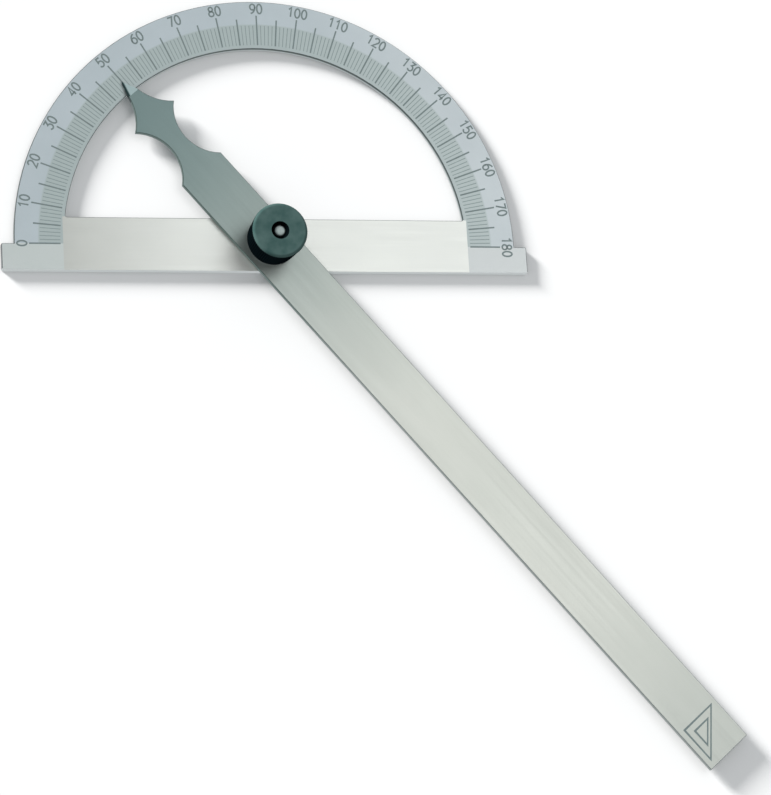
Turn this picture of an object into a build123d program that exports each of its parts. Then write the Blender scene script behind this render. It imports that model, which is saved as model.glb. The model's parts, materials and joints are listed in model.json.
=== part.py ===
from build123d import *
import os
from math import atan2, cos, degrees, pi, sin

# Arm protractor, millimetres. X runs along the base bar from 0 to 180 degrees, Y towards the top of the arc,
# Z up from the flat underside. The origin is on the pivot axis, at the underside.

# Scale plate
SCALE_RADIUS = 75.0
WINDOW_RADIUS = 60.4
BASE_LENGTH = 157.5
BAR_WIDTH = 16.0
PLATE_THICKNESS = 2.0
WINDOW_FILLET = 0.6
CORNER_RADIUS = 0.4
EDGE_BREAK = 0.15

# Arm
ARM_WIDTH = 15.5
ARM_THICKNESS = 1.5
ARM_LONG_END = 200.5
POINTER_REACH = 64.5
SHOULDER_AT = 29.6
SPUR_AT = 50.1
NECK_WIDTH = 5.8
BEVEL_AT = 59.4
BEVEL_WIDTH = 3.8
SPUR_HOLLOW = 1.0
ARM_READING = 49.74

# Pivot stud
THREAD_DIAMETER = 4.0
SHOULDER_DIAMETER = 6.0
RIVET_DIAMETER = 4.6
RIVET_HEAD_DIAMETER = 8.0
RIVET_HEAD_DEPTH = 1.2
STUD_TOP = 18.2
STUD_END_ROUND = 1.1

# Washers
WASHER_GAP = 0.03
FRICTION_WASHER_THICKNESS = 0.37
FRICTION_WASHER_DIAMETER = 13.6
SPRING_WASHER_THICKNESS = 0.3
SPRING_WASHER_HEIGHT = 0.6
SPRING_WASHER_DIAMETER = 11.0
SPRING_WASHER_BORE = 6.4
CLAMP_WASHER_THICKNESS = 0.8
CLAMP_WASHER_DIAMETER = 12.0

# Knob
KNOB_TOP = 18.6
KNOB_HEAD_UNDERSIDE = 7.6
KNOB_TOP_DIAMETER = 16.5
KNOB_FOOT_DIAMETER = 15.2
KNOB_COLLAR_DIAMETER = 10.0
KNOB_TOP_ROUND = 0.9
KNOB_FOOT_ROUND = 0.6
KNOB_HOLE_DIAMETER = 5.3
FLUTE_COUNT = 72
FLUTE_DEPTH = 0.2
FLUTE_FLARE = 1.9
INSERT_DIAMETER = 6.6
INSERT_TOP = 9.0
SPIGOT_DIAMETER = 5.2
LIP_DIAMETER = 5.9
LIP_HEIGHT = 0.25
RUNNING_CLEARANCE = 0.05

# Levels of the stack on the pivot
arm_bottom = PLATE_THICKNESS + FRICTION_WASHER_THICKNESS + WASHER_GAP
arm_top = arm_bottom + ARM_THICKNESS
spring_bottom = arm_top + WASHER_GAP
clamp_bottom = spring_bottom + SPRING_WASHER_HEIGHT + WASHER_GAP
clamp_top = clamp_bottom + CLAMP_WASHER_THICKNESS
knob_bottom = clamp_top + WASHER_GAP


def bore(diameter, bottom, top):
    """A round cutter on the pivot axis."""
    return Pos(0, 0, bottom) * extrude(Circle(diameter / 2), amount=top - bottom)


def revolved(points):
    """A solid of revolution about the pivot axis, from (radius, height) corners."""
    outline = make_face(Plane.XZ * Polyline(*points, close=True))
    return revolve(outline, Axis.Z)


def ring(outer, inner, bottom, top):
    """A flat ring on the pivot axis."""
    return Pos(0, 0, bottom) * extrude(Circle(outer / 2) - Circle(inner / 2), amount=top - bottom)


def broken_edges(solid, low, high):
    """The solid with the edges of its top and bottom faces broken by a small chamfer."""
    rims = [edge for edge in solid.edges() if edge.center().Z > high - 0.001 or edge.center().Z < low + 0.001]
    return chamfer(rims, EDGE_BREAK)


def plate_outline():
    """Half disc on a straight bar: the stamped outline, without the window."""
    half = BASE_LENGTH / 2
    foot = -BAR_WIDTH / 2
    edges = [
        RadiusArc((SCALE_RADIUS, 0), (-SCALE_RADIUS, 0), -SCALE_RADIUS),
        Polyline((-SCALE_RADIUS, 0), (-half, 0), (-half, foot), (half, foot), (half, 0), (SCALE_RADIUS, 0)),
    ]
    return make_face(edges)


def window_outline():
    """D-shaped window between the bar and the arc."""
    sill = BAR_WIDTH / 2
    corner = (WINDOW_RADIUS**2 - sill**2) ** 0.5
    arc = ThreePointArc((corner, sill), (0, WINDOW_RADIUS), (-corner, sill))
    window = make_face([arc, Line((-corner, sill), (corner, sill))])
    return fillet(window.vertices(), WINDOW_FILLET)


def scale_plate():
    """One stamped sheet: arc, base bar and end tabs, with the seat of the riveted stud."""
    outline = plate_outline()
    foot_corners = [v for v in outline.vertices() if v.Y < -0.1 or abs(v.X) > SCALE_RADIUS + 0.1]
    outline = fillet(foot_corners, CORNER_RADIUS)
    sheet = extrude(outline - window_outline(), amount=PLATE_THICKNESS)
    sheet = broken_edges(sheet, 0, PLATE_THICKNESS)
    countersink = revolved([
        (0, 0),
        (RIVET_HEAD_DIAMETER / 2, 0),
        (RIVET_DIAMETER / 2, RIVET_HEAD_DEPTH),
        (0, RIVET_HEAD_DEPTH),
    ])
    return sheet - countersink - bore(RIVET_DIAMETER, 0, PLATE_THICKNESS)


def pivot_stud():
    """Turned stud: riveted countersunk head, shoulder for the arm, threaded shank with a rounded end."""
    shoulder_top = arm_top + WASHER_GAP
    thread = THREAD_DIAMETER / 2
    turned = revolved([
        (0, 0),
        (RIVET_HEAD_DIAMETER / 2, 0),
        (RIVET_DIAMETER / 2, RIVET_HEAD_DEPTH),
        (RIVET_DIAMETER / 2, PLATE_THICKNESS),
        (SHOULDER_DIAMETER / 2, PLATE_THICKNESS),
        (SHOULDER_DIAMETER / 2, shoulder_top),
        (thread, shoulder_top),
        (thread, STUD_TOP),
        (0, STUD_TOP),
    ])
    end_rim = turned.edges().filter_by(GeomType.CIRCLE).sort_by(Axis.Z)[-1]
    return fillet(end_rim, STUD_END_ROUND)


def friction_washer():
    """Thin ring that carries the arm clear of the scale."""
    hole = SHOULDER_DIAMETER + 2 * RUNNING_CLEARANCE
    top = PLATE_THICKNESS + FRICTION_WASHER_THICKNESS
    return ring(FRICTION_WASHER_DIAMETER, hole, PLATE_THICKNESS, top)


def pointer_side():
    """Edge of the pointer from the shoulder to the tip, on the +Y side, with the arm along X."""
    half = ARM_WIDTH / 2
    shoulder = (SHOULDER_AT, half)
    waist = ((SHOULDER_AT + SPUR_AT) / 2, NECK_WIDTH / 2)
    spur = (SPUR_AT, half)
    bevel = (BEVEL_AT, BEVEL_WIDTH / 2)
    slope = atan2(bevel[1] - spur[1], bevel[0] - spur[0])
    hollow = (
        (spur[0] + bevel[0]) / 2 + SPUR_HOLLOW * sin(slope),
        (spur[1] + bevel[1]) / 2 - SPUR_HOLLOW * cos(slope),
    )
    return [
        ThreePointArc(shoulder, waist, spur),
        ThreePointArc(spur, hollow, bevel),
        Line(bevel, (POINTER_REACH, 0)),
    ]


def arm_outline():
    """Straight rail with its waisted pointer."""
    half = ARM_WIDTH / 2
    left = pointer_side()
    right = [edge.mirror(Plane.XZ) for edge in left]
    rail = Polyline((SHOULDER_AT, half), (-ARM_LONG_END, half), (-ARM_LONG_END, -half), (SHOULDER_AT, -half))
    return make_face(left + right + [rail])


def arm():
    """Flat rail that turns on the stud's shoulder, turned to its reading."""
    blank = extrude(arm_outline(), amount=ARM_THICKNESS)
    rims = [edge for edge in blank.edges() if edge.center().Z > ARM_THICKNESS - 0.001]
    blank = chamfer(rims, EDGE_BREAK)
    blank = blank - bore(SHOULDER_DIAMETER + 2 * RUNNING_CLEARANCE, 0, ARM_THICKNESS)
    bevel = Plane.XZ * Polyline(
        (BEVEL_AT, ARM_THICKNESS),
        (POINTER_REACH + 1, ARM_THICKNESS),
        (POINTER_REACH + 1, 0),
        (POINTER_REACH, 0),
        close=True,
    )
    blank = blank - extrude(make_face(bevel), amount=BEVEL_WIDTH, both=True)
    return Pos(0, 0, arm_bottom) * Rot(0, 0, 180 - ARM_READING) * blank


def spring_washer():
    """Conical spring ring, wide side on the arm."""
    outer = SPRING_WASHER_DIAMETER / 2
    inner = SPRING_WASHER_BORE / 2
    top = spring_bottom + SPRING_WASHER_HEIGHT
    return revolved([
        (inner, top - SPRING_WASHER_THICKNESS),
        (outer, spring_bottom),
        (outer, spring_bottom + SPRING_WASHER_THICKNESS),
        (inner, top),
    ])


def clamp_washer():
    """Flat ring held on the insert's spigot."""
    hole = SPIGOT_DIAMETER + 2 * RUNNING_CLEARANCE
    washer = ring(CLAMP_WASHER_DIAMETER, hole, clamp_bottom, clamp_top)
    rims = [edge for edge in washer.edges() if edge.length > pi * CLAMP_WASHER_DIAMETER * 0.9]
    return chamfer(rims, EDGE_BREAK)


def knob_insert():
    """Brass nut with a spigot and a swaged lip that keeps the clamp washer."""
    body = INSERT_DIAMETER / 2
    spigot = SPIGOT_DIAMETER / 2
    lip = LIP_DIAMETER / 2
    thread = THREAD_DIAMETER / 2 + RUNNING_CLEARANCE
    lip_top = clamp_bottom - WASHER_GAP
    return revolved([
        (thread, lip_top - LIP_HEIGHT),
        (lip, lip_top - LIP_HEIGHT),
        (lip, lip_top),
        (spigot, lip_top),
        (spigot, knob_bottom),
        (body, knob_bottom),
        (body, INSERT_TOP),
        (thread, INSERT_TOP),
    ])


def corners_at(outline, radius):
    """Corners of a half section that lie at this radius."""
    return [corner for corner in outline.vertices() if abs(corner.X - radius) < 0.01]


def knob_profile():
    """Half section of the knob's tapered head on its collar, with the head's rim and heel rounded."""
    top = KNOB_TOP_DIAMETER / 2
    foot = KNOB_FOOT_DIAMETER / 2
    collar = KNOB_COLLAR_DIAMETER / 2
    corners = Plane.XZ * Polyline(
        (0, knob_bottom),
        (collar, knob_bottom),
        (collar, KNOB_HEAD_UNDERSIDE),
        (foot, KNOB_HEAD_UNDERSIDE),
        (top, KNOB_TOP),
        (0, KNOB_TOP),
        close=True,
    )
    outline = make_face(corners)
    outline = fillet(corners_at(outline, top), KNOB_TOP_ROUND)
    return fillet(corners_at(outline, foot), KNOB_FOOT_ROUND)


def flute_cutter():
    """One straight V groove down the side of the head."""
    radius = KNOB_TOP_DIAMETER / 2
    flare = pi * radius / FLUTE_COUNT * FLUTE_FLARE
    lean = degrees(atan2((KNOB_TOP_DIAMETER - KNOB_FOOT_DIAMETER) / 2, KNOB_TOP - KNOB_HEAD_UNDERSIDE))
    groove = Polyline((radius - FLUTE_DEPTH, 0), (radius + 1, -flare), (radius + 1, flare), close=True)
    prism = extrude(make_face(groove), amount=2 * KNOB_TOP, both=True)
    return Pos(radius, 0, KNOB_TOP) * Rot(0, lean, 0) * Pos(-radius, 0, 0) * prism


def knob_body():
    """Moulded plastic knob with a fluted side, a hole for the stud's end and a seat for the insert."""
    head = revolve(knob_profile(), Axis.Z)
    head = head - bore(KNOB_HOLE_DIAMETER, 0, KNOB_TOP + 1) - bore(INSERT_DIAMETER, 0, INSERT_TOP)
    groove = flute_cutter()
    return head - [Rot(0, 0, k * 360 / FLUTE_COUNT) * groove for k in range(FLUTE_COUNT)]


NODES = {
    "scale_plate": scale_plate,
    "pivot_stud": pivot_stud,
    "friction_washer": friction_washer,
    "arm": arm,
    "spring_washer": spring_washer,
    "clamp_washer": clamp_washer,
    "knob_insert": knob_insert,
    "knob_body": knob_body,
}

os.makedirs("parts", exist_ok=True)
for name, make in NODES.items():
    export_step(make(), f"parts/{name}.step")
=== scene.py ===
import json
import math
import bmesh
import bpy
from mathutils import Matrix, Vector

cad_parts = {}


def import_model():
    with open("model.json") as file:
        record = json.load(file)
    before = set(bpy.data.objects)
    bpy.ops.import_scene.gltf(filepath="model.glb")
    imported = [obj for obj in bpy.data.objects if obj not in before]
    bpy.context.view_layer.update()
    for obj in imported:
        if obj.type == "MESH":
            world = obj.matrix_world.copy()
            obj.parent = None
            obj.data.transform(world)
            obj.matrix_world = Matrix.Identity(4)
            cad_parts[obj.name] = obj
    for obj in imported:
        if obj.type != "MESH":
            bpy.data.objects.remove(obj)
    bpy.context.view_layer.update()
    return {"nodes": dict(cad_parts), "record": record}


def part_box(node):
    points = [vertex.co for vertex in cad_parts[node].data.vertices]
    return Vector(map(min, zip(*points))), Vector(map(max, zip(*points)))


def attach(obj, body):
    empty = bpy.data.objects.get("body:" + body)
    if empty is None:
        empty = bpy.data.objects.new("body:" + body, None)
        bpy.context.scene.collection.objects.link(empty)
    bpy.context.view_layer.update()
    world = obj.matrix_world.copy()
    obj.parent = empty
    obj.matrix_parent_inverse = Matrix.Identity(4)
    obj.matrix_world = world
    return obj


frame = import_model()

MM = 0.001

# ---------------------------------------------------------------- places taken from the frame

FACE_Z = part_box("scale_plate")[1].z
ARM_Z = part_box("arm")[1].z
mounts = {mount["name"]: mount for mount in frame["record"]["mounts"]}
BAR_HALF = -mounts["base_edge"]["pos_m"][1]
edge_normal = Vector(mounts["arm_edge"]["axis"])
ALONG_ARM = math.atan2(edge_normal.y, edge_normal.x) - math.pi / 2

# ---------------------------------------------------------------- scale marks

MARK_HEIGHT = 0.012 * MM
TICKS_FROM = 61.5 * MM
DEGREE_TO = 67.6 * MM
FIVE_TO = 69.6 * MM
TEN_TO = 70.7 * MM
DEGREE_WIDTH = 0.26 * MM
LONG_WIDTH = 0.46 * MM
NUMERAL_FOOT = 71.35 * MM
NUMERAL_HEIGHT = 2.9 * MM
NUMERAL_STROKE = 0.50 * MM
DIGIT_WIDTH = 0.52
DIGIT_GAP = 0.20
ARC_STEPS = 14
CLOSED_WITHIN = 0.1
LEAST_MITRE = 0.5


def arc(cx, cy, rx, ry, start, stop):
    """Points on an ellipse between two angles in degrees."""
    points = []
    for k in range(ARC_STEPS + 1):
        a = math.radians(start + (stop - start) * k / ARC_STEPS)
        points.append((cx + rx * math.cos(a), cy + ry * math.sin(a)))
    return points


def turned(strokes):
    """A digit's strokes turned upside down in its box."""
    return [[(DIGIT_WIDTH - x, 1 - y) for x, y in stroke] for stroke in strokes]


def digit_strokes():
    """Single-stroke engraver's digits in a box one unit high, each a list of strokes."""
    w = DIGIT_WIDTH
    mid = w / 2
    six = [arc(mid, 0.31, mid, 0.31, 150, 510)[:-1], [(0.88 * w, 1.0)] + arc(w, 0.30, w, 0.70, 105, 180)]
    return {
        "0": [arc(mid, 0.5, mid, 0.5, 90, 450)],
        "1": [[(0.12 * w, 0.76), (0.58 * w, 1.0), (0.58 * w, 0.0)]],
        "2": [arc(mid, 0.71, 0.48 * w, 0.29, 165, -30) + [(0.0, 0.0), (w, 0.0)]],
        "3": [[(0.06 * w, 1.0), (0.94 * w, 1.0), (0.45 * w, 0.60)] + arc(mid, 0.30, mid, 0.30, 80, -150)],
        "4": [[(0.74 * w, 0.0), (0.74 * w, 1.0), (0.0, 0.27), (w, 0.27)]],
        "5": [
            [(0.92 * w, 1.0), (0.18 * w, 1.0), (0.10 * w, 0.56)]
            + arc(0.47 * w, 0.32, 0.52 * w, 0.32, 125, -150)
        ],
        "6": six,
        "7": [[(0.03 * w, 1.0), (w, 1.0), (0.32 * w, 0.0)]],
        "8": [arc(mid, 0.76, 0.40 * w, 0.24, -90, 270), arc(mid, 0.26, mid, 0.26, 90, 450)],
        "9": turned(six),
    }


def ribbon(mesh, points, width, low, high):
    """A flat closed band of this width along a line of points, between two heights."""
    closed = (Vector(points[0]) - Vector(points[-1])).length < width * CLOSED_WITHIN
    if closed:
        points = points[:-1]
    count = len(points)
    rows = []
    for k, point in enumerate(points):
        here = Vector(point)
        before = Vector(points[k - 1]) if k > 0 or closed else None
        after = Vector(points[(k + 1) % count]) if k < count - 1 or closed else None
        way_in = (here - before).normalized() if before else (after - here).normalized()
        way_out = (after - here).normalized() if after else way_in
        middle = (way_in + way_out).normalized()
        side = Vector((-middle.y, middle.x))
        reach = width / 2 / max(LEAST_MITRE, abs(middle.dot(way_out)))
        left = here + side * reach
        right = here - side * reach
        corners = ((left, high), (right, high), (right, low), (left, low))
        rows.append([mesh.verts.new((p.x, p.y, z)) for p, z in corners])
    spans = range(count) if closed else range(count - 1)
    for k in spans:
        a, b = rows[k], rows[(k + 1) % count]
        for i in range(4):
            j = (i + 1) % 4
            mesh.faces.new((a[i], a[j], b[j], b[i]))
    if not closed:
        mesh.faces.new(rows[0][::-1])
        mesh.faces.new(rows[-1])


def finished(mesh, name, body):
    """The mesh as a named piece that rides on a body."""
    bmesh.ops.recalc_face_normals(mesh, faces=mesh.faces)
    data = bpy.data.meshes.new(name)
    mesh.to_mesh(data)
    mesh.free()
    piece = bpy.data.objects.new(name, data)
    bpy.context.scene.collection.objects.link(piece)
    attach(piece, body)
    return piece


def outward(degree):
    """Direction from the centre to a reading of the scale, 0 on the left."""
    a = math.radians(degree)
    return Vector((-math.cos(a), math.sin(a)))


def ticks(name, degrees, to, width):
    """Radial marks at these readings."""
    mesh = bmesh.new()
    for degree in degrees:
        way = outward(degree)
        ribbon(mesh, [way * TICKS_FROM, way * to], width, FACE_Z - MARK_HEIGHT, FACE_Z + MARK_HEIGHT)
    return finished(mesh, name, "scale")


def numeral(mesh, degree, digits):
    """The number of a reading, upright on the outward direction."""
    text = str(degree)
    up = outward(degree)
    right = Vector((up.y, -up.x))
    span = len(text) * DIGIT_WIDTH + (len(text) - 1) * DIGIT_GAP
    for place, character in enumerate(text):
        shift = place * (DIGIT_WIDTH + DIGIT_GAP) - span / 2
        for stroke in digits[character]:
            points = [
                up * (NUMERAL_FOOT + y * NUMERAL_HEIGHT) + right * (x + shift) * NUMERAL_HEIGHT
                for x, y in stroke
            ]
            ribbon(mesh, points, NUMERAL_STROKE, FACE_Z - MARK_HEIGHT, FACE_Z + MARK_HEIGHT)


def numerals():
    """All numbers of the scale, every ten degrees."""
    mesh = bmesh.new()
    digits = digit_strokes()
    for degree in range(0, 181, 10):
        numeral(mesh, degree, digits)
    return finished(mesh, "scale_numerals", "scale")


# ---------------------------------------------------------------- mark on the arm

SQUARE_MARK_AT = 192.5 * MM
SQUARE_MARK_SIZE = 11.5 * MM
SQUARE_MARK_STROKE = 0.62 * MM
SQUARE_MARK_INNER = 0.48
SQUARE_MARK_SHIFT = 0.12


def arm_point(along, across):
    """A point on the arm, from its distance to the pivot and from its centre line."""
    way = Vector((math.cos(ALONG_ARM), math.sin(ALONG_ARM)))
    side = Vector((-way.y, way.x))
    return way * along + side * across


def square_mark():
    """Etched outline of a set square near the arm's end, with a smaller one inside it."""
    mesh = bmesh.new()
    for size in (1.0, SQUARE_MARK_INNER):
        half = SQUARE_MARK_SIZE / 2 * size
        shift = SQUARE_MARK_SIZE * (1 - size) * SQUARE_MARK_SHIFT
        corners = [(-half, -half), (half, -half), (-half, half), (-half, -half)]
        points = [arm_point(SQUARE_MARK_AT + x - shift, y - shift) for x, y in corners]
        ribbon(mesh, points, SQUARE_MARK_STROKE, ARM_Z - MARK_HEIGHT, ARM_Z + MARK_HEIGHT)
    return finished(mesh, "arm_square_mark", "arm")


# ---------------------------------------------------------------- materials

NOISE_ROUGHNESS = 0.55
NOISE_SPAN = (0.2, 0.8)


class Shader:
    """A material's node tree, built by short calls."""

    def __init__(self, name):
        self.material = bpy.data.materials.new(name)
        self.material.use_nodes = True
        self.tree = self.material.node_tree
        self.tree.nodes.clear()
        self.output = self.tree.nodes.new("ShaderNodeOutputMaterial")
        self.surface = self.tree.nodes.new("ShaderNodeBsdfPrincipled")
        self.link(self.surface.outputs[0], self.output.inputs[0])
        coordinates = self.tree.nodes.new("ShaderNodeTexCoord")
        self.place = coordinates.outputs["Object"]
        self.normal = coordinates.outputs["Normal"]

    def link(self, source, target):
        self.tree.links.new(source, target)

    def put(self, socket, value):
        if isinstance(value, bpy.types.NodeSocket):
            self.link(value, socket)
        else:
            socket.default_value = value

    def set(self, name, value):
        self.put(self.surface.inputs[name], value)

    def math(self, operation, a, b=0.0):
        node = self.tree.nodes.new("ShaderNodeMath")
        node.operation = operation
        self.put(node.inputs[0], a)
        self.put(node.inputs[1], b)
        return node.outputs[0]

    def length(self, a, b):
        """The length of a flat vector."""
        squares = self.math("ADD", self.math("MULTIPLY", a, a), self.math("MULTIPLY", b, b))
        return self.math("SQRT", squares)

    def axes(self, vector=None):
        node = self.tree.nodes.new("ShaderNodeSeparateXYZ")
        self.link(vector or self.place, node.inputs[0])
        return node.outputs

    def mapped(self, scale, turn=0.0, vector=None):
        node = self.tree.nodes.new("ShaderNodeMapping")
        node.inputs["Rotation"].default_value = (0, 0, turn)
        node.inputs["Scale"].default_value = scale
        self.link(vector or self.place, node.inputs["Vector"])
        return node.outputs[0]

    def noise(self, vector, detail):
        node = self.tree.nodes.new("ShaderNodeTexNoise")
        node.inputs["Scale"].default_value = 1.0
        node.inputs["Detail"].default_value = detail
        node.inputs["Roughness"].default_value = NOISE_ROUGHNESS
        self.link(vector, node.inputs["Vector"])
        return node.outputs["Fac"]

    def speckle(self, fineness, detail):
        """Noise that is the same in every direction."""
        return self.noise(self.mapped((fineness, fineness, fineness)), detail)

    def ramp(self, value, low, high, out_low=0.0, out_high=1.0):
        node = self.tree.nodes.new("ShaderNodeMapRange")
        node.interpolation_type = "SMOOTHSTEP"
        for socket, number in zip(node.inputs[1:5], (low, high, out_low, out_high)):
            socket.default_value = number
        self.put(node.inputs[0], value)
        return node.outputs[0]

    def mix(self, share, a, b):
        node = self.tree.nodes.new("ShaderNodeMix")
        node.data_type = "RGBA"
        self.put(node.inputs[0], share)
        self.put(node.inputs[6], a)
        self.put(node.inputs[7], b)
        return node.outputs[2]

    def faces_up(self, low, high):
        """1 on faces that look straight up or down, 0 on walls."""
        return self.ramp(self.math("ABSOLUTE", self.axes(self.normal)[2]), low, high)

    def clear_from_below(self):
        """Lets a flat sheet be seen through from its underside."""
        seen_from = self.tree.nodes.new("ShaderNodeNewGeometry")
        clear = self.tree.nodes.new("ShaderNodeBsdfTransparent")
        either = self.tree.nodes.new("ShaderNodeMixShader")
        self.link(seen_from.outputs["Backfacing"], either.inputs[0])
        self.link(self.surface.outputs[0], either.inputs[1])
        self.link(clear.outputs[0], either.inputs[2])
        self.link(either.outputs[0], self.output.inputs[0])

    def bump(self, height, distance, strength):
        node = self.tree.nodes.new("ShaderNodeBump")
        node.inputs["Strength"].default_value = strength
        node.inputs["Distance"].default_value = distance
        self.link(height, node.inputs["Height"])
        self.link(node.outputs[0], self.surface.inputs["Normal"])


def rgb(red, green, blue):
    return (red, green, blue, 1.0)


# How far a surface looks up or down, from a wall at 0 to a flat face at 1.
WALL_TO_EDGE = (0.2, 0.4)
EDGE_TO_FACE = (0.76, 0.9)
TILTED_TO_FLAT = (0.76, 1.0)

# Painted shade: the plate's fine broken edges are coloured dark.
BROKEN_EDGE_PAINTED_SHADE = rgb(0.10, 0.12, 0.12)
PLATE_METALLIC = 0.85


def with_edges(s, face, wall, broken):
    """Puts the sheared walls and the fine broken edges round a face's colour, as painted shade and
    painted highlight.
    """
    off_edge = s.mix(s.faces_up(*WALL_TO_EDGE), wall, broken)
    return s.mix(s.faces_up(*EDGE_TO_FACE), off_edge, face)


# Scale plate. Each pair of tones runs from the metal's darker clouds to its lighter ones.
# Painted light: each left and right pair differs by a painted gradient, lighter towards the right.
SATIN_LEFT = (rgb(0.385, 0.395, 0.368), rgb(0.478, 0.488, 0.460))
SATIN_RIGHT = (rgb(0.698, 0.708, 0.676), rgb(0.772, 0.782, 0.740))
ETCHED_LEFT = (rgb(0.407, 0.462, 0.483), rgb(0.503, 0.557, 0.588))
ETCHED_RIGHT = (rgb(0.453, 0.494, 0.515), rgb(0.556, 0.597, 0.608))
TAB_LEFT = (rgb(0.468, 0.522, 0.498), rgb(0.574, 0.596, 0.592))
TAB_RIGHT = (rgb(0.524, 0.545, 0.543), rgb(0.588, 0.610, 0.607))
PLAIN_BACK = (rgb(0.52, 0.54, 0.52), rgb(0.60, 0.62, 0.60))
GRADUATED_LEFT = rgb(0.385, 0.440, 0.437)
GRADUATED_RIGHT = rgb(0.416, 0.466, 0.464)
# Walls: painted shade on the plain and window walls, painted highlight on the front wall and on the foot
# of the window wall.
PLATE_WALL_PAINTED_SHADE = rgb(0.36, 0.39, 0.38)
FRONT_WALL_PAINTED_HIGHLIGHT = rgb(0.90, 0.93, 0.92)
WINDOW_WALL_PAINTED_SHADE = rgb(0.13, 0.17, 0.165)
WINDOW_FOOT_PAINTED_HIGHLIGHT = rgb(0.75, 0.80, 0.79)

SATIN_HALF = 60.7 * MM
SATIN_TOP = BAR_HALF * 1.02
# Spans of the painted light gradient across the plate.
SATIN_PAINTED_LIGHT_RAMP = (-82 * MM, -12 * MM)
ETCHED_PAINTED_LIGHT_RAMP = (-10 * MM, 75 * MM)
GRADUATED_FADE = 0.6 * MM
# Where the front wall's painted highlight ends, and the heights over which the window wall's painted
# shade sets in.
FRONT_WALL_TO = -BAR_HALF + 0.4 * MM
WINDOW_WALL_DARKENS = (0.7 * MM, 1.3 * MM)
BACK_TO_FRONT = (-0.5, 0.0)
SATIN_BRUSHING = (40, 4000, 400)
ETCHED_GRAIN = 2600
PLATE_CLOUDS = 45
PLATE_ROUGHNESS = (0.40, 0.48)
PLATE_RELIEF = 0.012 * MM
PLATE_RELIEF_STRENGTH = 0.12


def etched_ground(s, x, y, radius, cloud):
    """Matt ground of the arc, a little darker under the one-degree marks, and of the two tabs, with
    painted light that grows towards the right.
    """
    painted_light_to_right = s.ramp(x, *ETCHED_PAINTED_LIGHT_RAMP)
    etched = s.mix(painted_light_to_right, s.mix(cloud, *ETCHED_LEFT), s.mix(cloud, *ETCHED_RIGHT))
    tabs = s.mix(painted_light_to_right, s.mix(cloud, *TAB_LEFT), s.mix(cloud, *TAB_RIGHT))
    graduated = s.mix(painted_light_to_right, GRADUATED_LEFT, GRADUATED_RIGHT)
    arc_ground = s.mix(s.ramp(radius, DEGREE_TO, DEGREE_TO + GRADUATED_FADE), graduated, etched)
    return s.mix(s.math("LESS_THAN", y, 0.0), arc_ground, tabs)


def plate_walls(s, y, z, radius):
    """Painted tones of the sheared walls and of their broken edges.

    They are pale in front as a painted highlight, and in the window dark with painted shade above a pale
    foot that is a painted highlight.
    """
    at_front = s.math("LESS_THAN", y, FRONT_WALL_TO)
    above_bar = s.math("GREATER_THAN", y, SATIN_TOP)
    in_window = s.math("MULTIPLY", s.math("LESS_THAN", radius, SATIN_HALF), above_bar)
    window_wall = s.mix(s.ramp(z, *WINDOW_WALL_DARKENS), WINDOW_FOOT_PAINTED_HIGHLIGHT, WINDOW_WALL_PAINTED_SHADE)
    wall = s.mix(at_front, s.mix(in_window, PLATE_WALL_PAINTED_SHADE, window_wall), FRONT_WALL_PAINTED_HIGHLIGHT)
    return wall, s.mix(at_front, BROKEN_EDGE_PAINTED_SHADE, FRONT_WALL_PAINTED_HIGHLIGHT)


def scale_steel():
    """Satin bar between two straight edges, matt etched ground everywhere else, and a plain back."""
    s = Shader("scale_steel")
    x, y, z = s.axes()
    radius = s.length(x, y)
    cloud = s.speckle(PLATE_CLOUDS, detail=4)
    grain = s.speckle(ETCHED_GRAIN, detail=2)
    brushed = s.noise(s.mapped(SATIN_BRUSHING), detail=4)
    between = s.math("LESS_THAN", s.math("ABSOLUTE", x), SATIN_HALF)
    in_bar = s.math("MULTIPLY", between, s.math("LESS_THAN", y, SATIN_TOP))
    # Painted light: the satin bar is coloured lighter towards the right.
    satin = s.mix(s.ramp(x, *SATIN_PAINTED_LIGHT_RAMP), s.mix(cloud, *SATIN_LEFT), s.mix(cloud, *SATIN_RIGHT))
    front = s.mix(in_bar, etched_ground(s, x, y, radius, cloud), satin)
    faces_front = s.ramp(s.axes(s.normal)[2], *BACK_TO_FRONT)
    face = s.mix(faces_front, s.mix(cloud, *PLAIN_BACK), front)
    # Walls and broken edges carry painted shade and painted highlight.
    wall, broken = plate_walls(s, y, z, radius)
    s.set("Base Color", with_edges(s, face, wall, broken))
    s.set("Metallic", PLATE_METALLIC)
    fine = s.mix(in_bar, grain, brushed)
    s.set("Roughness", s.ramp(fine, *NOISE_SPAN, *PLATE_ROUGHNESS))
    s.bump(fine, PLATE_RELIEF, PLATE_RELIEF_STRENGTH)
    return s.material


# Arm, with places counted along it from the pivot. The pointer is on the negative side.
# Painted light: the arm's top runs from painted shade at the pointer to a painted sheen along the rail.
ARM_POINTER_END_PAINTED_SHADE = (rgb(0.145, 0.205, 0.200), rgb(0.190, 0.255, 0.250))
ARM_RAIL_PAINTED_SHEEN = (rgb(0.468, 0.484, 0.443), rgb(0.586, 0.591, 0.546))
# Painted shade: the arm's far end is coloured darker.
ARM_FAR_END_PAINTED_SHADE = rgb(0.36, 0.385, 0.36)
# Painted highlight on the pointer's bevelled facet, and a painted shadow along its left flank.
POINTER_FACET_PAINTED_HIGHLIGHT = rgb(0.445, 0.565, 0.565)
POINTER_FLANK_PAINTED_SHADOW = rgb(0.02, 0.05, 0.05)
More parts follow.
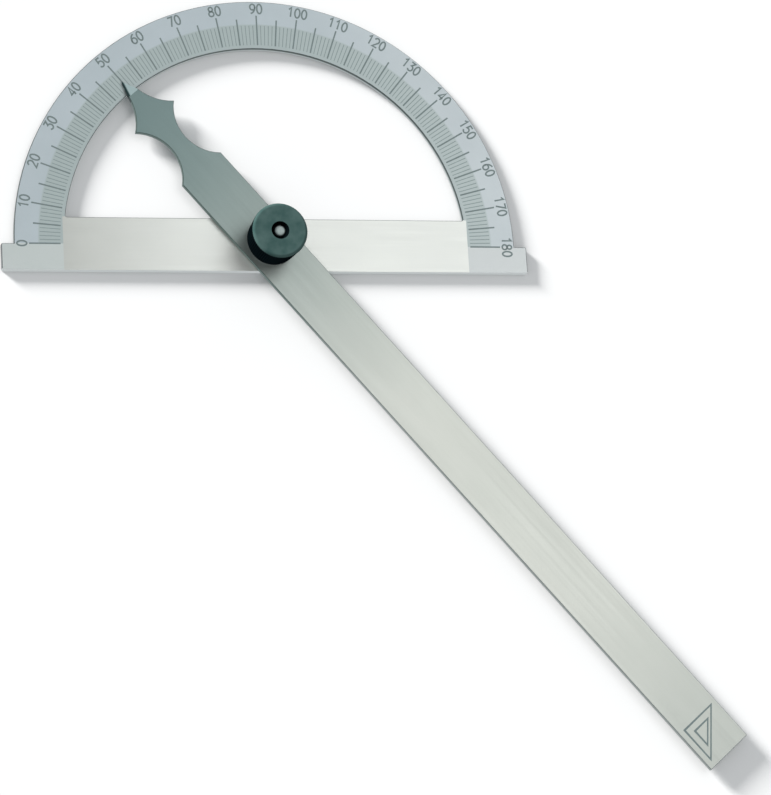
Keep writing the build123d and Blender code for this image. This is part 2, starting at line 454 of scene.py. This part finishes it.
# Painted shade on the arm's walls and broken edges, giving way to painted light on the rail's walls
# further from the pivot.
POINTER_WALL_PAINTED_SHADE = rgb(0.02, 0.04, 0.045)
NEAR_WALL_PAINTED_SHADE = rgb(0.20, 0.27, 0.25)
NEAR_EDGE_PAINTED_SHADE = rgb(0.08, 0.12, 0.11)
RAIL_WALL_PAINTED_LIGHT = rgb(0.46, 0.50, 0.48)
RAIL_EDGE_PAINTED_SHADE = rgb(0.24, 0.27, 0.27)

POINTER_BEVEL = 59.4 * MM
POINTER_TIP = 64.5 * MM
POINTER_SLOPE = 0.37
POINTER_WALL_TO = -POINTER_BEVEL + 1.5 * MM
FLANK_SHADOW_FADE = (0.3 * MM, 0.8 * MM)
ARM_PAINTED_SHEEN_RAMP = (-58 * MM, 80 * MM)
ARM_WALL_SHADE_FADES = (5 * MM, 55 * MM)
ARM_FAR_END_SHADE_AT = (130 * MM, 205 * MM)
ARM_FAR_END_SHADE_SHARE = 0.5
ARM_BRUSHING = (12, 1800, 300)
ARM_CLOUDS = (25, 70, 20)
ARM_NOISE_SPAN = (0.25, 0.75)
ARM_ROUGHNESS = (0.36, 0.42)
ARM_RELIEF = 0.01 * MM
ARM_RELIEF_STRENGTH = 0.07


def arm_face(s, along, across, cloud):
    """Tone of the arm's top: painted shade at the pointer end rising to a painted sheen along the rail
    and painted shade again at the far end, with a painted highlight on the pointer's facet and a painted
    shadow on its left flank.
    """
    sheen = s.mix(cloud, *ARM_RAIL_PAINTED_SHEEN)
    # Painted shade towards the arm's far end.
    sheen = s.mix(s.ramp(along, *ARM_FAR_END_SHADE_AT, 0.0, ARM_FAR_END_SHADE_SHARE), sheen, ARM_FAR_END_PAINTED_SHADE)
    # Painted shade at the pointer end, painted sheen further along the rail.
    rail = s.mix(s.ramp(along, *ARM_PAINTED_SHEEN_RAMP), s.mix(cloud, *ARM_POINTER_END_PAINTED_SHADE), sheen)
    half_width = s.math("MULTIPLY", s.math("ADD", along, POINTER_TIP), POINTER_SLOPE)
    from_left = s.math("ADD", across, half_width)
    # Painted shadow along the pointer's left flank, painted highlight on the rest of its facet.
    facet = s.mix(s.ramp(from_left, *FLANK_SHADOW_FADE), POINTER_FLANK_PAINTED_SHADOW, POINTER_FACET_PAINTED_HIGHLIGHT)
    return s.mix(s.math("LESS_THAN", along, -POINTER_BEVEL), rail, facet)


def arm_steel():
    """Steel rail brushed along its length, with painted shade towards the pointer and a painted sheen
    along the rail.
    """
    s = Shader("arm_steel")
    on_arm = s.mapped((1, 1, 1), turn=-ALONG_ARM)
    along, across = s.axes(on_arm)[:2]
    lines = s.noise(s.mapped(ARM_BRUSHING, vector=on_arm), detail=5)
    cloud = s.noise(s.mapped(ARM_CLOUDS, vector=on_arm), detail=4)
    # The painted shade on walls and edges fades down the rail; the pointer's wall is painted dark.
    wall_shade_fades = s.ramp(along, *ARM_WALL_SHADE_FADES)
    wall = s.mix(wall_shade_fades, NEAR_WALL_PAINTED_SHADE, RAIL_WALL_PAINTED_LIGHT)
    wall = s.mix(s.math("LESS_THAN", along, POINTER_WALL_TO), wall, POINTER_WALL_PAINTED_SHADE)
    broken = s.mix(wall_shade_fades, NEAR_EDGE_PAINTED_SHADE, RAIL_EDGE_PAINTED_SHADE)
    s.set("Base Color", with_edges(s, arm_face(s, along, across, cloud), wall, broken))
    s.set("Metallic", PLATE_METALLIC)
    s.set("Roughness", s.ramp(lines, *ARM_NOISE_SPAN, *ARM_ROUGHNESS))
    s.bump(lines, ARM_RELIEF, ARM_RELIEF_STRENGTH)
    return s.material


BLACK_INK = (rgb(0.09, 0.12, 0.12), rgb(0.16, 0.20, 0.20))
GREY_INK = (rgb(0.15, 0.19, 0.19), rgb(0.24, 0.29, 0.28))
INK_WEAR = 900
INK_ROUGHNESS = (0.45, 0.7)


def ink(name, tones):
    """Blackened etch, slightly worn."""
    s = Shader(name)
    wear = s.speckle(INK_WEAR, detail=3)
    s.set("Base Color", s.mix(wear, *tones))
    s.set("Roughness", s.ramp(wear, *NOISE_SPAN, *INK_ROUGHNESS))
    return s.material


# Painted light on the knob's top, painted shade on its sides.
KNOB_TOP_PAINTED_LIGHT = (rgb(0.030, 0.066, 0.062), rgb(0.060, 0.104, 0.098))
KNOB_SIDE_PAINTED_SHADE = rgb(0.002, 0.004, 0.005)
KNOB_SIDE_TO_TOP = (0.15, 0.45)
KNOB_GLOSS = 0.06
KNOB_GRAIN = 1500
KNOB_CLOUDS = 160
KNOB_CLOUD_SPAN = (0.3, 0.7)
KNOB_ROUGHNESS = (0.45, 0.62)
KNOB_RELIEF = 0.02 * MM
KNOB_RELIEF_STRENGTH = 0.5


def knob_plastic():
    """Moulded black plastic with a faint grain, with painted light on its top and painted shade on its
    sides, glossiest where it looks up.
    """
    s = Shader("knob_plastic")
    grain = s.speckle(KNOB_GRAIN, detail=3)
    cloud = s.ramp(s.speckle(KNOB_CLOUDS, detail=3), *KNOB_CLOUD_SPAN)
    upward = s.axes(s.normal)[2]
    on_top = s.ramp(upward, *KNOB_SIDE_TO_TOP)
    s.set("Base Color", s.mix(on_top, KNOB_SIDE_PAINTED_SHADE, s.mix(cloud, *KNOB_TOP_PAINTED_LIGHT)))
    s.set("Roughness", s.ramp(grain, *NOISE_SPAN, *KNOB_ROUGHNESS))
    s.set("Specular IOR Level", s.ramp(upward, *KNOB_SIDE_TO_TOP, 0.0, KNOB_GLOSS))
    s.bump(grain, KNOB_RELIEF, KNOB_RELIEF_STRENGTH)
    return s.material


STEEL_TONES = (rgb(0.24, 0.29, 0.28), rgb(0.41, 0.465, 0.45))
# Painted shade on the stud's tilted faces, darkening its rounded end and its shank down the knob's hole.
STEEL_PAINTED_SHADE = rgb(0.05, 0.065, 0.065)
STEEL_ROUGHNESS = (0.38, 0.52)
ZINC_TONES = (rgb(0.40, 0.42, 0.42), rgb(0.54, 0.56, 0.55))
ZINC_ROUGHNESS = (0.36, 0.50)
BRASS_TONES = (rgb(0.60, 0.44, 0.18), rgb(0.78, 0.60, 0.28))
BRASS_ROUGHNESS = (0.22, 0.40)
TURNED_RINGS = (4000, 4000, 1)
TURNED_CLOUDS = 500
TURNED_RELIEF = 0.01 * MM
TURNED_RELIEF_STRENGTH = 0.5


def turned_metal(name, tones, roughness, shade=None):
    """Bare metal with fine rings about the pivot axis, with painted shade on its tilted faces if a shade
    colour is given.
    """
    s = Shader(name)
    x, y, z = s.axes()
    rings = s.tree.nodes.new("ShaderNodeCombineXYZ")
    s.link(s.length(x, y), rings.inputs[0])
    s.link(z, rings.inputs[1])
    fine = s.noise(s.mapped(TURNED_RINGS, vector=rings.outputs[0]), detail=3)
    tone = s.mix(s.speckle(TURNED_CLOUDS, detail=3), *tones)
    if shade:
        # Painted shade on the tilted faces.
        tone = s.mix(s.faces_up(*TILTED_TO_FLAT), shade, tone)
    s.set("Base Color", tone)
    s.set("Metallic", 1.0)
    s.set("Roughness", s.ramp(fine, *NOISE_SPAN, *roughness))
    s.bump(fine, TURNED_RELIEF, TURNED_RELIEF_STRENGTH)
    return s.material


def dress(name, material):
    """Gives a CAD node its finished material."""
    data = frame["nodes"][name].data
    data.materials.clear()
    data.materials.append(material)


steel = turned_metal("turned_steel", STEEL_TONES, STEEL_ROUGHNESS, STEEL_PAINTED_SHADE)
zinc = turned_metal("zinc_plate", ZINC_TONES, ZINC_ROUGHNESS)
brass = turned_metal("turned_brass", BRASS_TONES, BRASS_ROUGHNESS)
black = ink("mark_black", BLACK_INK)
grey = ink("mark_grey", GREY_INK)

dress("scale_plate", scale_steel())
dress("arm", arm_steel())
dress("pivot_stud", steel)
dress("spring_washer", zinc)
dress("clamp_washer", zinc)
dress("friction_washer", brass)
dress("knob_insert", brass)
dress("knob_body", knob_plastic())

marks = {
    black: [
        ticks("five_degree_ticks", range(5, 180, 10), FIVE_TO, LONG_WIDTH),
        ticks("ten_degree_ticks", range(0, 181, 10), TEN_TO, LONG_WIDTH),
        numerals(),
        square_mark(),
    ],
    grey: [ticks("degree_ticks", [d for d in range(181) if d % 5], DEGREE_TO, DEGREE_WIDTH)],
}
for material, pieces in marks.items():
    for piece in pieces:
        piece.data.materials.append(material)

# ---------------------------------------------------------------- floor, light and camera

FLOOR_SIZE = 6.0
FLOOR_GAP = 0.02 * MM
FLOOR_TONE = rgb(0.78, 0.78, 0.78)
FLOOR_ROUGHNESS = 0.9
KEY_AZIMUTH = 140.0
KEY_ELEVATION = 16.0
KEY_ANGLE = 15.0
KEY_STRENGTH = 7.4
KEY_TINT = (1.0, 0.99, 0.98)
SOFTBOX_PLACE = (0.55, 0.25, 1.5)
SOFTBOX_AIM = (0.05, -0.02, 0)
SOFTBOX_SIZE = 0.9
SOFTBOX_WATTS = 3.3
SOFTBOX_TINT = (0.98, 1.0, 1.0)
SURROUNDINGS = rgb(0.95, 0.98, 1.0)
SURROUNDINGS_STRENGTH = 0.58
FILM_WIDTH = 36.0
LENS = 172.0
CAMERA_PLACE = (-0.24361, -0.29079, 1.05030)
CAMERA_TURN = (13.582, -13.989, -3.436)


def floor():
    """Plain pale floor under the tool, left out of mirror-like reflection."""
    mesh = bmesh.new()
    bmesh.ops.create_grid(mesh, x_segments=1, y_segments=1, size=FLOOR_SIZE / 2)
    data = bpy.data.meshes.new("floor")
    mesh.to_mesh(data)
    mesh.free()
    piece = bpy.data.objects.new("floor", data)
    bpy.context.scene.collection.objects.link(piece)
    piece.location.z = -FLOOR_GAP
    s = Shader("floor_white")
    s.set("Base Color", FLOOR_TONE)
    s.set("Roughness", FLOOR_ROUGHNESS)
    s.clear_from_below()
    data.materials.append(s.material)
    piece.visible_glossy = False


def aimed(piece, place, aim):
    """Stands a lamp at a place and turns it towards a point."""
    place, aim = Vector(place), Vector(aim)
    piece.location = place
    piece.rotation_euler = (aim - place).to_track_quat("-Z", "Y").to_euler()


def softbox():
    """A soft square lamp high up on the right."""
    data = bpy.data.lights.new("softbox", "AREA")
    data.shape = "SQUARE"
    data.size = SOFTBOX_SIZE
    data.energy = SOFTBOX_WATTS
    data.color = SOFTBOX_TINT
    piece = bpy.data.objects.new("softbox", data)
    bpy.context.scene.collection.objects.link(piece)
    aimed(piece, SOFTBOX_PLACE, SOFTBOX_AIM)


def key_light():
    """A low, even light from the upper left, left out of mirror-like reflection.

    Only the two flat plates shade it.
    """
    data = bpy.data.lights.new("key", "SUN")
    data.angle = math.radians(KEY_ANGLE)
    data.energy = KEY_STRENGTH
    data.color = KEY_TINT
    piece = bpy.data.objects.new("key", data)
    bpy.context.scene.collection.objects.link(piece)
    azimuth = math.radians(KEY_AZIMUTH)
    elevation = math.radians(KEY_ELEVATION)
    across = math.cos(elevation)
    aimed(piece, (math.cos(azimuth) * across, math.sin(azimuth) * across, math.sin(elevation)), (0, 0, 0))
    shading = bpy.data.collections.new("key_shading")
    for name in ("scale_plate", "arm"):
        shading.objects.link(frame["nodes"][name])
    piece.light_linking.blocker_collection = shading
    piece.visible_glossy = False


def world():
    """Even pale surroundings."""
    surroundings = bpy.data.worlds.new("studio")
    surroundings.use_nodes = True
    background = surroundings.node_tree.nodes["Background"]
    background.inputs["Color"].default_value = SURROUNDINGS
    background.inputs["Strength"].default_value = SURROUNDINGS_STRENGTH
    bpy.context.scene.world = surroundings


def camera():
    """Long lens from high up on the left, close to straight above."""
    data = bpy.data.cameras.new("camera")
    data.sensor_width = FILM_WIDTH
    data.lens = LENS
    piece = bpy.data.objects.new("camera", data)
    bpy.context.scene.collection.objects.link(piece)
    piece.location = CAMERA_PLACE
    piece.rotation_euler = [math.radians(a) for a in CAMERA_TURN]
    bpy.context.scene.camera = piece


floor()
world()
key_light()
softbox()
camera()
bpy.context.scene.view_settings.view_transform = "Standard"
